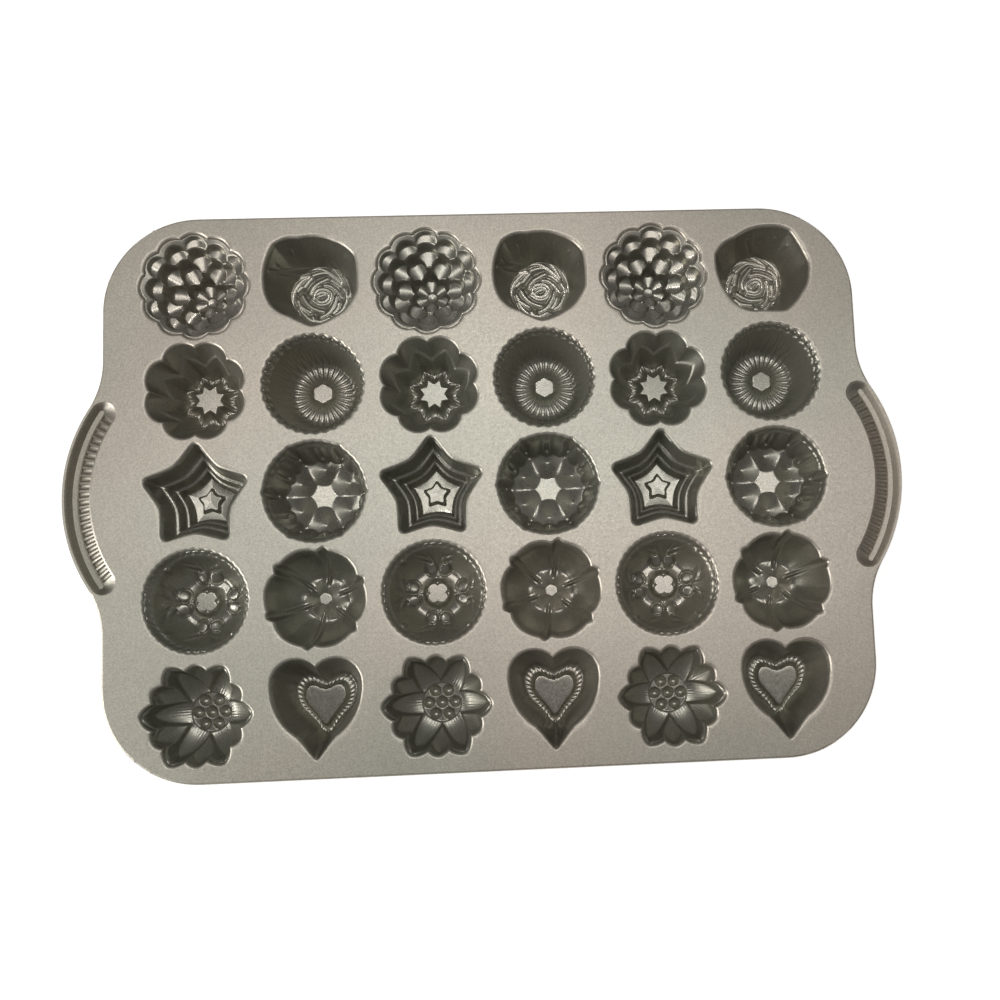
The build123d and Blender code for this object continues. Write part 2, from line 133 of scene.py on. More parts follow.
def profile(value, stations):
    """Smooth rise through (place, depth) stations, without overshoot and level beyond both ends."""
    place, depth = np.array(stations, float).T
    step = np.diff(place)
    slope = np.diff(depth) / step
    lean = np.concatenate([[slope[0]], np.zeros(len(slope) - 1), [slope[-1]]])
    same = slope[1:] * slope[:-1] > 0
    lean[1:-1][same] = 2 * slope[1:][same] * slope[:-1][same] / (slope[1:] + slope[:-1])[same]
    value = np.clip(value, place[0], place[-1])
    part = np.clip(np.searchsorted(place, value) - 1, 0, len(step) - 1)
    share = (value - place[part]) / step[part]
    return (
        depth[part] * (1 + 2 * share) * (1 - share) ** 2
        + step[part] * lean[part] * share * (1 - share) ** 2
        + depth[part + 1] * share * share * (3 - 2 * share)
        + step[part] * lean[part + 1] * share * share * (share - 1)
    )


def step_up(value, low, high):
    """0 below low, 1 above high, smooth between."""
    share = np.clip((value - low) / (high - low), 0, 1)
    return share * share * (3 - 2 * share)


def between(value, low, full_from, full_to, high):
    """1 from full_from to full_to, and smoothly down to 0 at low and high."""
    return step_up(value, low, full_from) * (1 - step_up(value, full_to, high))


def scallop(angle):
    """1 in broad round hollows, -1 on sharp crests between them."""
    return 2 * np.abs(np.cos(angle / 2)) - 1


def hump(value, middle, width):
    """1 at the middle, falling off smoothly to both sides."""
    return np.exp(-((value - middle) / width) ** 2)


def deepest(*forms, soft=0.25):
    """The deeper form everywhere, with the edges between forms rounded."""
    stack = np.stack(np.broadcast_arrays(*forms))
    top = stack.max(0)
    return top + soft * np.log(np.exp((stack - top) / soft).sum(0))


def shallowest(*forms, soft=0.25):
    """The shallower form everywhere, with the edges between forms rounded."""
    return -deepest(*[-form for form in forms], soft=soft)


def raised_middle(grid, well, reach, depth, side):
    """The well with a flat middle at depth, whose side falls to the well's own floor."""
    share = np.clip((grid.radius - reach) / side, 0, 1)
    return depth + (well - depth) * share


def segment_gap(x, y, start, end):
    """Distance from every point to the straight line from start to end, and the nearest place along it."""
    run_x, run_y = end[0] - start[0], end[1] - start[1]
    share = ((x - start[0]) * run_x + (y - start[1]) * run_y) / (run_x ** 2 + run_y ** 2)
    share = np.clip(share, 0, 1)
    return np.hypot(x - start[0] - share * run_x, y - start[1] - share * run_y), share


def line_gap(grid, points):
    """Distance from every point of the grid to the line through points."""
    best = np.full(grid.radius.shape, far_away)
    for start, end in zip(points[:-1], points[1:]):
        best = np.minimum(best, segment_gap(grid.x, grid.y, start, end)[0])
    return best


def smooth_line(line, pieces=5):
    """Points of a curve that passes through the points of a line."""
    given = [np.array(point, float) for point in line]
    given = [2 * given[0] - given[1], *given, 2 * given[-1] - given[-2]]
    points = []
    for before, start, end, after in zip(given, given[1:], given[2:], given[3:]):
        for piece in range(pieces):
            share = piece / pieces
            points.append(0.5 * (
                2 * start
                + (end - before) * share
                + (2 * before - 5 * start + 4 * end - after) * share * share
                + (3 * start - before - 3 * end + after) * share ** 3
            ))
    points.append(given[-2])
    return points


# Dahlia: rings of hollow petals, each ring lower and turned by half a petal
def dahlia_rim(angle):
    return lobes(angle, 12, 0, 24.3, 26.2)


def petal_ring(grid, aim, start, tip, tip_depth, half_width, slope, hollow, root, blunt=0.95):
    """Six tongue-shaped treads, hollow across, that rise from start to the tip and end in a steep riser."""
    riser, back = 5.0, 3.5
    along, across = from_axis(grid, 6, aim)
    rounding = half_width * blunt
    width = half_width * np.clip(along / (tip - rounding), root, 1) ** 0.8
    past = np.maximum(0, along - (tip - rounding)) / rounding
    beyond = np.sqrt(past ** 2 + (across / width) ** 2) - 1
    tread = tip_depth + slope * (tip - along) - hollow * np.clip(across / width, -1.2, 1.2) ** 2
    return tread - riser * width * np.maximum(0, beyond) - back * np.maximum(0, start - along)


def dahlia_well(grid):
    pit_reach = 2.6
    ground = profile(grid.radius, ((0, 19.0), (6.5, 16.2), (11.5, 10.4), (16, 6.2), (19.5, 3.0), (25, 0.5)))
    pit = 22.4 - 0.22 * grid.radius - 5.0 * np.maximum(0, grid.radius - pit_reach)
    rings = [
        petal_ring(grid, 30, 2.6, 9.3, 20.6, 3.1, slope=0.14, hollow=1.0, root=0.6, blunt=1.1),
        petal_ring(grid, 0, 8.2, 16.2, 14.6, 4.5, slope=0.16, hollow=1.3, root=0.68),
        petal_ring(grid, 30, 11.8, 19.1, 10.4, 5.1, slope=0.17, hollow=1.5, root=0.68),
        petal_ring(grid, 0, 15.2, 22.2, 6.0, 5.3, slope=0.18, hollow=1.5, root=0.68),
        petal_ring(grid, 30, 18.2, 24.2, 3.1, 4.9, slope=0.18, hollow=1.1, root=0.6),
    ]
    return deepest(ground, pit, *rings, soft=0.18)


# Rose: a flat swirl of petal edges at the bottom of plain swept walls
# Its rim and floor are (degrees, reach) stations, and its lines run through points from the middle
rose_outline = (
    (0, 22), (15, 22.6), (30, 24.2), (45, 23.5), (60, 22.4), (75, 22), (90, 21.8), (105, 21.8),
    (120, 24.2), (135, 25.4), (150, 24), (165, 23.1), (180, 22.6), (210, 22.6), (225, 21.8), (240, 20.4),
    (255, 21), (270, 22.7), (285, 22), (300, 21.5), (315, 22), (330, 22), (345, 22.5),
)
rose_floor = (
    (0, 14.4), (60, 15.2), (90, 15.0), (130, 14.4), (180, 15.2), (225, 14.6), (270, 13.4), (315, 13.2),
)
rose_edges = (
    ((-4.2, -1.0), (-3.9, 1.2), (-2.4, 3.3), (0.2, 3.9), (2.6, 3.4), (4.3, 1.9), (4.4, 0.2)),
    ((4.4, 0.4), (3.6, -2.4), (1.6, -4.1), (-1.4, -4.2), (-3.5, -3.0), (-5.0, -1.8)),
    ((-3.3, -0.9), (-1.6, -2.6), (0.8, -2.6), (2.6, -1.2), (3.0, 0.6), (1.8, 2.0), (-0.4, 2.3), (-2.6, 1.4)),
    ((-1.8, -0.1), (-0.4, 0.4), (0.8, 0.9)),
    ((-5.8, 1.4), (-4.9, 4.0), (-3.0, 6.0), (-0.3, 7.6), (2.5, 8.9)),
    ((1.2, 5.8), (3.5, 5.4), (5.8, 4.0), (8.0, 1.6), (9.8, -0.9)),
    ((7.0, -0.6), (6.2, -3.2), (4.6, -6.5), (2.3, -9.2), (-0.8, -10.7)),
    ((-9.8, 0.2), (-8.2, -2.6), (-5.6, -5.4), (-2.6, -6.9), (0.0, -7.8)),
    ((4.8, 8.2), (6.8, 7.0), (9.0, 5.2)),
    ((10.6, 3.8), (11.8, 1.5), (12.3, -0.8)),
    ((12.2, -1.8), (11.2, -4.5), (9.4, -7.6), (6.8, -9.4)),
    ((8.2, -3.8), (7.2, -6.6), (5.4, -8.7)),
    ((-5.4, 9.3), (-7.0, 7.6), (-8.8, 5.2)),
    ((-10.4, 4.9), (-12.3, 3.0)),
    ((-6.5, 10.2), (-10.0, 8.2), (-13.2, 4.6), (-14.6, 0.4), (-14.6, -3.6), (-12.8, -8.6)),
    ((-12.2, -2.0), (-11.0, -4.6), (-8.4, -6.6), (-6.2, -8.0)),
    ((-11.2, -5.6), (-9.8, -8.2), (-7.0, -11.2), (-4.6, -12.6)),
    ((-4.9, -10.8), (-3.9, -12.2), (-1.6, -12.9), (0.8, -12.4), (3.0, -11.3)),
    ((5.0, -12.2), (8.0, -11.6), (11.0, -10.8), (13.4, -9.2)),
    ((-4.4, 11.0), (-1.0, 12.0), (2.4, 12.2), (4.4, 10.9), (7.0, 9.0), (9.6, 6.4)),
)
rose_sweeps = (
    ((-20.5, 6.2), (-15.0, 10.4), (-10.5, 12.3), (-6.5, 13.6), (-2.6, 14.3), (0.4, 14.0), (3.4, 12.4),
     (6.0, 10.4), (8.4, 8.0)),
    ((-18.5, 6.6), (-11.5, 9.6), (-7.0, 10.6)),
    ((2.0, 19.0), (5.0, 15.0), (8.0, 11.2), (9.9, 7.2)),
    ((5.4, 18.6), (9.0, 13.8), (11.6, 9.4), (13.7, 5.0), (14.1, 2.0), (13.4, -0.4)),
)

# Small dots on the rose's wall: direction in degrees, and distance from the middle
rose_dots = ((122, 20.6), (150, 20.6), (66, 19.4), (44, 20.2), (23, 20.0))


def rose_rim(angle):
    return around(angle, rose_outline)


def rose_well(grid):
    wall_foot, line_height, line_width, dot_width = 20.6, 0.9, 0.55, 0.6
    floor_reach = around(grid.angle, rose_floor, soften=6.0)
    share = (grid.radius - floor_reach) / (grid.wall_top - floor_reach)
    side = wall_foot - (wall_foot - wall_top_depth) * np.clip(share, -0.4, 1)
    edge_gaps = [line_gap(grid, smooth_line(line)) for line in rose_edges]
    sweep_gaps = [line_gap(grid, smooth_line(line)) for line in rose_sweeps]
    gap = np.minimum.reduce(edge_gaps + sweep_gaps)
    floor = 20.2 + 1.15 * (np.sqrt(gap ** 2 + 3.2) - 1.79)
    well = shallowest(side + 0.6, floor, soft=0.3)
    for gap in sweep_gaps:
        well -= line_height * step_up(share, 0.0, 0.06) * hump(gap, 0, line_width)
    for angle, ring in rose_dots:
        gap = np.hypot(grid.x - ring * cos(radians(angle)), grid.y - ring * sin(radians(angle)))
        well -= line_height * hump(gap, 0, dot_width)
    return well


# Star flower: eight lobes, a zigzag ledge, a deep channel and a flat eight-pointed middle
def star_flower_rim(angle):
    return lobes(angle, 8, 22.5, 21.1, 24.1, 2.2)


def star_flower_well(grid):
    middle_depth, channel_depth, ledge_width = 17.3, 21.4, 1.3
    share = turn_share(grid.angle, 8)
    star = 5.2 + 2.4 * share ** 1.7
    channel = 10.7 + 3.1 * share ** 1.4
    ledge = 16.5 + 4.1 * share
    ledge_depth = 12.0 - 6.4 * share
    bank = profile((grid.radius - star) / (channel - star), (
        (0, middle_depth), (0.22, 19.0), (0.45, 20.4), (0.65, 21.15), (1.0, 21.5), (1.2, 21.7),
    ))
    slope = (channel_depth - ledge_depth - 1.4) / (ledge - ledge_width - channel)
    well = shallowest(bank, channel_depth - slope * (grid.radius - channel), soft=0.15)
    well += 0.30 * scallop(24 * grid.angle) * hump(grid.radius, channel - 1.0, 1.6)
    well = np.where(grid.radius < star, middle_depth, well)
    tread = ledge_depth + 1.1 * (ledge - grid.radius)
    well = np.where(grid.radius > ledge - ledge_width, tread, well)
    top = np.clip((grid.radius - ledge) / (grid.wall_top - ledge), 0, 1)
    well = np.where(grid.radius > ledge, ledge_depth + (wall_top_depth - ledge_depth) * top, well)
    across = from_axis(grid, 8)[1]
    return well - 0.35 * between(grid.radius, 8.6, 10.4, 14.5, 16.5) * hump(across, 0, 0.5)


# Fluted cup: two rows of beads at the rim, flutes that fork, a raised six-sided middle
beads, inner_flutes = 33, 30


def fluted_rim(angle):
    return 24.0 + 0.3 * np.cos(beads * angle)


def fluted_well(grid):
    bowl = profile(grid.radius, (
        (3.9, 17.9), (5.4, 19.0), (6.6, 20.2), (8.0, 21.0), (10.0, 21.55), (12.0, 21.75), (14.0, 21.5),
        (15.6, 20.6), (17.2, 18.2), (19.0, 13.8), (20.5, 9.0), (21.4, 5.4), (21.9, 3.9), (22.5, 3.3),
        (23.0, 2.4), (23.2, 1.4),
    ))
    fork = step_up(grid.radius, 14.0, 17.0)
    flutes = (1 - fork) * scallop(inner_flutes * grid.angle) - fork * np.cos(beads * grid.angle)
    strength = profile(grid.radius, (
        (5.5, 0), (8.0, 0.16), (12.0, 0.22), (16.0, 0.34), (20.5, 0.30), (21.5, 0),
    ))
    well = bowl + strength * flutes
    well = raised_middle(grid, well, lobes(grid.angle, 6, 90, 4.15, 4.95, 1.3), depth=18.0, side=0.7)
    for ring, start in ((23.05, 0), (22.15, pi)):
        well -= 0.5 * hump(grid.radius, ring, 0.42) * (np.cos(beads * grid.angle + start) + 0.2)
    return well


# Star: three walls that follow the outline, two ledges, a light floor and a small raised star
# One side of a tip: degrees from the tip, and reach
star_outline = (
    (0, 25.1), (2.5, 24.9), (5, 24.2), (10, 22.1), (15, 20.5), (20, 19.3), (25, 18.4), (30, 17.8), (36, 17.5),
)


def star_rim(angle):
    return straight(degrees_off(angle, 5, 90), star_outline)


def star_well(grid):
    round_rim = np.linspace(0, 2 * pi, 361)
    reach = star_rim(round_rim)
    from_rim = line_gap(grid, list(zip(reach * np.cos(round_rim), reach * np.sin(round_rim))))
    well = profile(from_rim, (
        (0.8, 1.4), (3.0, 8.9), (3.3, 9.35), (4.6, 9.9), (4.9, 10.5), (6.0, 14.3), (6.25, 14.7),
        (7.3, 15.15), (7.6, 15.8), (8.6, 19.6), (9.0, 20.0), (18.0, 20.75),
    ))
    from_tip = degrees_off(grid.angle, 5, 90)
    small_star = straight(from_tip, ((0, 5.3), (6, 5.0), (14, 4.3), (25, 3.7), (36, 3.5)))
    well -= 2.3 * np.clip((small_star * 1.3 - grid.radius) / (small_star * 0.3), 0, 1)
    across = from_axis(grid, 5, 54)[1]
    on_floor = step_up(grid.radius, 5.2, 6.0) * (1 - step_up(from_rim, 7.4, 8.6)) * (grid.radius < 9.5)
    return well - 0.45 * hump(across, 0, 0.4) * on_floor


# Rosette: a wavy rim, an arcade, six petal hollows and a flat six-pointed middle
rosette_waves, rosette_arches = 36, 18


def rosette_rim(angle):
    from_point = np.clip(np.abs(near(angle, 6)) / radians(9), 0, 1)
    return 24.1 + 0.12 * np.cos(rosette_waves * angle) + 0.6 * (1 - from_point) ** 1.3


def dimples(grid, well, start, ring, depth, size):
    """Six small round dimples in a circle, nearly flat inside."""
    along, across = from_axis(grid, 6, start)
    share = np.hypot(along - ring, across) / size
    return deepest(well, depth - 0.14 * share ** 2 - 2.4 * np.maximum(0, share - 1), soft=0.1)


def rosette_well(grid):
    petal_slope, petal_middle, crease = 0.43, 13.8, 0.5
    along, across = from_axis(grid, 6, 30)
    from_middle = np.hypot(along - petal_middle, across)
    petals = 21.05 - petal_slope * (np.sqrt(from_middle ** 2 + crease) - 0.7)
    well = deepest(17.6, petals, soft=0.04)
    beside = from_axis(grid, 6)[1]
    softened = np.sqrt(beside ** 2 + crease) - np.abs(beside)
    well += petal_slope * softened * between(grid.radius, 6.2, 9.4, 15.5, 17.5)
    share = turn_share(grid.angle, rosette_arches, 30)
    arch_foot = 18.2 + 1.2 * share ** 2
    arcade = profile(grid.radius - arch_foot, (
        (-1.8, below_any_well), (-1.0, 18.5), (-0.2, 16.6), (0.6, 14.0), (2.0, 8.6), (3.2, 4.8),
        (3.7, 3.9), (4.3, 3.5),
    ))
    arcade += 1.6 * (1 - share ** 2) * hump(grid.radius, 20.4, 1.4)
    arcade -= 1.1 * hump(share, 1, 0.15) * hump(grid.radius, 20.8, 1.6)
    well = shallowest(well, arcade, soft=0.3)
    band = profile(grid.radius, (
        (21.2, below_any_well), (21.8, 6.0), (22.2, 3.6), (22.7, 3.2), (23.1, 2.0), (23.3, 1.4),
    ))
    well = shallowest(well, band + 0.32 * np.cos(rosette_waves * grid.angle), soft=0.12)
    well = dimples(grid, well, 0, ring=20.2, depth=13.6, size=0.8)
    return dimples(grid, well, 30, ring=19.0, depth=16.6, size=0.6)


# Medallion: a roped rim, four palmettes, pearls and a raised four-lobed middle
rope_strands = 40

# Leaves of a palmette: both ends, along and beside its stem, and the width
palmette_leaves = (
    ((14.6, 2.6), (16.4, 8.4), 0.55),
    ((17.2, 3.2), (18.8, 9.6), 0.5),
    ((15.8, 1.4), (19.6, 4.6), 0.45),
)


def medallion_rim(angle):
    return 24.3 + 0.15 * np.cos(rope_strands * angle)


def medallion_well(grid):
    well = profile(grid.radius, (
        (5.6, 13.6), (6.6, 15.6), (8.0, 16.9), (9.6, 17.45), (11.4, 17.6), (13.0, 17.2), (14.6, 15.9),
        (16.4, 14.0), (18.0, 11.8), (19.8, 8.6), (21.0, 5.6), (21.7, 4.3), (22.4, 3.7), (23.1, 2.5),
        (23.5, 1.4),
    ))
    share = turn_share(grid.angle, 4, 45)
    well -= 1.6 * share ** 2 * step_up(grid.radius, 7, 10)
    well = raised_middle(grid, well, 5.2 - 1.6 * share ** 2.5, depth=12.9, side=0.9)
    along, across = from_axis(grid, 4)
    across = np.abs(across)
    from_eye = np.hypot(along - 11.9, across - 3.15) / 3.0
    well -= 1.5 * np.sqrt(np.clip(1 - (from_eye / 0.95) ** 2, 0, 1)) - 0.8 * hump(from_eye, 1.05, 0.17)
    well += 0.5 * hump(across, 0, 0.35) * between(along, 6.8, 8.0, 17.0, 21.0)
    for start, end, width in palmette_leaves:
        gap, place = segment_gap(along, across, start, end)
        well += 1.2 * hump(gap, 0, width) * np.sin(pi * np.clip(place, 0.05, 0.95))
    along, across = from_axis(grid, 4, 45)
    well -= 1.2 * hump(np.hypot(along - 20.9, across), 0, 0.9)
    rope = between(grid.radius, 21.6, 22.2, 23.3, 23.7)
    return well - 0.22 * rope * np.cos(rope_strands * grid.angle + 2.4 * (grid.radius - 22.8))


# Pumpkin: six swelling ribs with small leaning ears and a small raised middle
# Both sides of an ear: degrees from the ear, and reach
pumpkin_outline = (
    (-30, 23.6), (-22, 23.5), (-10, 23.2), (-6, 23.1), (-1, 24.2), (1.5, 24.2), (8, 21.9), (16, 22.9),
    (30, 23.6),
)
crease_aim = 19.5


def pumpkin_rim(angle):
    return straight(np.degrees(near(angle, 6, 20)), pumpkin_outline)


def pumpkin_well(grid):
    reach = grid.radius / (1 + (grid.rim / 23.2 - 1) * step_up(grid.radius, 8, 22))
    well = profile(reach, (
        (2.3, 17.8), (5.0, 19.2), (7.0, 20.1), (9.0, 20.7), (10.6, 20.9), (12.2, 20.3), (14.0, 18.9),
        (16.0, 16.9), (18.0, 14.2), (20.0, 10.6), (21.3, 7.2), (22.1, 3.8), (22.4, 1.4),
    ))
    swelling = (1 - turn_share(grid.angle, 6, crease_aim)) ** 2 - 0.3
    well -= 2.2 * swelling * step_up(grid.radius, 5.5, 10.5)
    across = from_axis(grid, 6, crease_aim)[1]
    strength = step_up(grid.radius, 5.5, 9.5) * (1 - 0.5 * step_up(grid.radius, 18, 22.5))
    well -= strength * (0.6 * hump(across, 0, 0.45) - 0.35 * hump(np.abs(across), 1.2, 0.45))
    return raised_middle(grid, well, lobes(grid.angle, 6, 38, 2.5, 2.95, 1.2), depth=18.0, side=0.6)


# Sunflower: leaf petals over shorter ones, round a disc of seven dimples
def sunflower_rim(angle):
    return np.maximum(lobes(angle, 6, 0, 14.6, 25.7, 1.55), lobes(angle, 6, 30, 14.2, 23.3, 1.75))


def leaf_ring(grid, aim, root, tip, root_depth, tip_depth, half_width, hollow, steep):
    """Six pointed leaves, hollow across and finely veined, with steep sides."""
    along, across = from_axis(grid, 6, aim)
    share = np.clip((along - root) / (tip - root), 0, 1.2)
    width = half_width * np.sqrt(np.clip(1 - share ** 1.9, 0.0004, 1))
    beside = np.clip(np.abs(across) / width, 0, 1)
    tread = root_depth + (tip_depth - root_depth) * share ** 1.7 - hollow * beside ** 2
    tread += 0.07 * np.cos(across * 5.0) * (1 - beside)
    return tread - steep * np.maximum(0, np.abs(across) - width) - steep * np.maximum(0, along - tip)


def sunflower_well(grid):
    seed_ring, seed_reach, seed_depth = 6.35, 2.75, 2.3
    ground = profile(grid.radius, ((0, 18.0), (9, 16.0), (14, 10.0), (19, 5.0), (24, 1.5)))
    leaves = leaf_ring(grid, 0, 8.6, 22.6, 18.0, 10.0, half_width=4.9, hollow=0.8, steep=3.6)
    between_leaves = leaf_ring(grid, 30, 9.0, 22.0, 15.0, 5.0, half_width=5.6, hollow=1.2, steep=3.0)
    disc = 18.6 - 4.0 * np.maximum(0, grid.radius - 9.2)
    well = deepest(ground, leaves, between_leaves, disc, soft=0.2)
    for ring, count in ((0, 1), (seed_ring, 6)):
        along, across = from_axis(grid, count)
        share = np.hypot(along - ring, across) / seed_reach
        well += seed_depth * np.clip(1 - share ** 2, 0, 1) ** 0.7
    return well


# Heart: steep smooth walls, a ring of short ribs and a flat heart-shaped middle
# Each outline runs from the notch to the tip: degrees from the notch, and reach
heart_outline = (
    (0, 18.9), (3, 19.95), (7, 21.22), (12, 22.6), (18, 23.97), (24, 25.02), (30, 25.75), (36, 26.15),
    (45, 26.14), (55, 25.25), (65, 23.47), (75, 21.6), (90, 19.48), (105, 17.87), (120, 16.75), (135, 16.11),
    (145, 15.94), (155, 16.87), (162, 18.13), (168, 19.63), (173, 21.27), (177, 22.93), (180, 23.6),
)
heart_floor = (
    (0, 7.0), (18, 8.1), (31, 10.7), (40, 11.7), (51, 11.5), (62, 10.6), (72, 9.7), (83, 8.3), (100, 6.6),
    (118, 5.9), (136, 5.8), (152, 6.4), (164, 7.3), (176, 9.0), (180, 9.4),
)
heart_ribs = (
    (0, 10.3), (17, 12.8), (28, 15.7), (41, 17.2), (57, 16.5), (67, 15.2), (77, 13.8), (90, 12.3),
    (111, 9.9), (125, 9.3), (138, 9.2), (150, 9.7), (160, 10.6), (168, 12.4), (180, 13.2),
)
rib_count = 19


def heart_rim(angle):
    return straight(degrees_off(angle, 1, 90), heart_outline)


def heart_well(grid):
    from_notch = degrees_off(grid.angle, 1, 90)
    floor, ribs = straight(from_notch, heart_floor), straight(from_notch, heart_ribs)
    degrees = np.linspace(0, 180, 721)
    reach = straight(degrees, heart_ribs)
    length = np.cumsum(np.hypot(np.gradient(reach), reach * radians(degrees[1])))
    along = np.interp(from_notch, degrees, length / length[-1])
    on_floor = (grid.radius - floor) / (ribs - floor)
    on_wall = (grid.radius - ribs) / (grid.wall_top - ribs)
    share = np.where(grid.radius < ribs, on_floor, 1 + on_wall)
    well = profile(share, (
        (-0.3, 16.9), (0.0, 16.95), (0.10, 17.6), (0.30, 19.1), (0.45, 19.6), (0.75, 19.9), (1.0, 19.75),
        (1.14, 18.6), (1.5, 11.0), (1.8, 4.8), (1.95, 1.9), (2.0, 1.4),
    ))
    well += 0.15 * scallop(2 * pi * rib_count * along) * hump(share, 0.78, 0.36)
    return well + 0.6 * hump(grid.x, 0, 0.5) * between(-grid.y, 12.0, 13.5, 16.5, 18.5)


# The ten designs. The copies of a cup stand two columns apart, and turns gives the degrees of each.
# The higher the roundness, the longer the rings stay round on their way out to the rim's outline.
def design(column, row, shift, rim, well, wall_slope, roundness, spokes, rings=66, turns=(0, 0, 0)):
    """First column, row, shift of the middle in its cell, and what shapes the rim and the well."""
    return SimpleNamespace(
        column=column, row=row, shift=shift, rim=rim, well=well, wall_slope=wall_slope,
        roundness=roundness, spokes=spokes, rings=rings, turns=turns,
    )


cups = {
    "dahlia": design(0, 0, (0, -0.9), dahlia_rim, dahlia_well, 2.6, 3.0, spokes=240),
    "star_flower": design(0, 1, (0.1, -1.1), star_flower_rim, star_flower_well, 8.0, 1.5, spokes=240),
    "star": design(0, 2, (0, -0.6), star_rim, star_well, 9.0, 0.0, spokes=260),
    "medallion": design(0, 3, (-0.1, 1.0), medallion_rim, medallion_well, 3.0, 4.0, spokes=320),
    "sunflower": design(0, 4, (0, -0.9), sunflower_rim, sunflower_well, 7.0, 4.0, spokes=264),
    "rose": design(1, 0, (-0.1, 0.8), rose_rim, rose_well, 6.0, 0.6, spokes=400, rings=100, turns=(0, 0, 25)),
    "fluted": design(1, 1, (0.1, 0.9), fluted_rim, fluted_well, 3.0, 4.0, spokes=330),
    "rosette": design(1, 2, (0.1, 0), rosette_rim, rosette_well, 6.0, 4.0, spokes=288),
    "pumpkin": design(1, 3, (-0.2, 0.4), pumpkin_rim, pumpkin_well, 5.0, 4.0, spokes=252),
    "heart": design(1, 4, (-0.5, 0.5), heart_rim, heart_well, 9.0, 0.0, spokes=280),
}


# Meshes of the cups
@cache
def spun_skin(stations, spokes):
    """A closed skin spun from a line of points, with the ring and spoke of each vertex."""
    bm = bmesh.new()
    line = []
    for ring in range(stations):
        reach = 0.0 if ring in (0, stations - 1) else 1.0
        line.append(bm.verts.new((reach, 0, ring)))
    edges = [bm.edges.new(pair) for pair in zip(line[:-1], line[1:])]
    bmesh.ops.spin(
        bm, geom=line + edges, cent=(0, 0, 0), axis=(0, 0, 1), angle=2 * pi, steps=spokes, use_merge=True
    )
    bmesh.ops.remove_doubles(bm, verts=bm.verts, dist=0.001)
    bmesh.ops.recalc_face_normals(bm, faces=bm.faces)
    mesh = bpy.data.meshes.new("skin")
    bm.to_mesh(mesh)
    bm.free()
    place = np.zeros(len(mesh.vertices) * 3)
    mesh.vertices.foreach_get("co", place)
    x, y, z = place.reshape(-1, 3).T
    ring_of = np.rint(z).astype(int)
    spoke_of = np.rint(np.arctan2(y, x) / (2 * pi / spokes)).astype(int) % spokes
    return mesh, ring_of, spoke_of


def side_reach(way, middle, low, high):
    """How far a line goes before it meets the side of the cell that lies ahead along one axis."""
    ahead = np.where(way > 0, high - middle, low - middle)
    return np.divide(ahead, way, out=np.full(way.shape, far_away), where=way != 0)


def cell_edge(angle, middle, low, high, rounded):
    """Distance from a cup's middle to the edge of its cell, and where that edge is the pan's round corner."""
    x, y = np.cos(angle), np.sin(angle)
    reach = np.minimum(
        side_reach(x, middle[0], low[0], high[0]), side_reach(y, middle[1], low[1], high[1])
    )
    if not rounded:
        return reach, np.zeros(angle.shape)
    side_x, side_y = np.sign(middle)
    centre_x = side_x * (body_length / 2 - corner_radius)
    centre_y = side_y * (body_width / 2 - corner_radius)
    from_x, from_y = middle[0] - centre_x, middle[1] - centre_y
    towards = from_x * x + from_y * y
    square = towards ** 2 - (from_x ** 2 + from_y ** 2 - corner_radius ** 2)
    arc = np.sqrt(np.maximum(square, 0)) - towards
    past_x = side_x * (middle[0] + arc * x - centre_x) > 0
    past_y = side_y * (middle[1] + arc * y - centre_y) > 0
    on_corner = (arc < reach) & past_x & past_y
    return np.where(on_corner, arc, reach), on_corner.astype(float)


def corner_spokes(angle, middle, low, high, rounded):
    """Angles at the edge of the cell, where the nearest spokes turn to its sharp corners."""
    turned = angle.copy()
    for x, y in product((low[0], high[0]), (low[1], high[1])):
        out_x, out_y = x - middle[0], y - middle[1]
        if rounded and out_x * middle[0] > 0 and out_y * middle[1] > 0:
            continue
        corner_angle = np.arctan2(out_y, out_x)
        spoke = int(np.rint(corner_angle / (2 * pi / len(angle)))) % len(angle)
        turned[spoke] = corner_angle
    return turned


def pressed_well(cup, angle, rim):
    """The grid of a well, from the middle out to the top of its wall, and the depth at every point."""
    share = (np.arange(1, cup.rings + 1) / cup.rings)[:, None] ** ring_power
    wall_top, mean_rim = rim + wall_top_out, rim.mean()
    radius = share * (mean_rim + (wall_top - mean_rim) * share ** cup.roundness)
    angle, rim, wall_top = (np.broadcast_to(value, radius.shape) for value in (angle, rim, wall_top))
    grid = SimpleNamespace(radius=radius, angle=angle, rim=rim, wall_top=wall_top)
    grid.x, grid.y = radius * np.cos(angle), radius * np.sin(angle)
    wall = wall_top_depth + cup.wall_slope * (wall_top - radius)
    depth = shallowest(cup.well(grid), wall, soft=0.12)
    depth[-1] = wall_top_depth
    return grid, depth


def edge_rings(edge, on_corner):
    """Down over the edge of a cell and under it, with the lip where that is the pan's corner."""
    straight_side = 1 - on_corner
    lip = on_corner * lip_thickness
    foot = on_corner * lip_height + straight_side * deck_thickness
    rings = []
    for inward, down, drop in edge_steps:
        inset = on_corner * (inward * edge_rounding)
        rings.append((edge - inset, on_corner * down * edge_rounding + straight_side * drop))
    rings.append((edge, foot))
    rings.append((edge - lip - underside_step, foot))
    rings.append((edge - lip - 2 * underside_step, deck_thickness))
    return rings


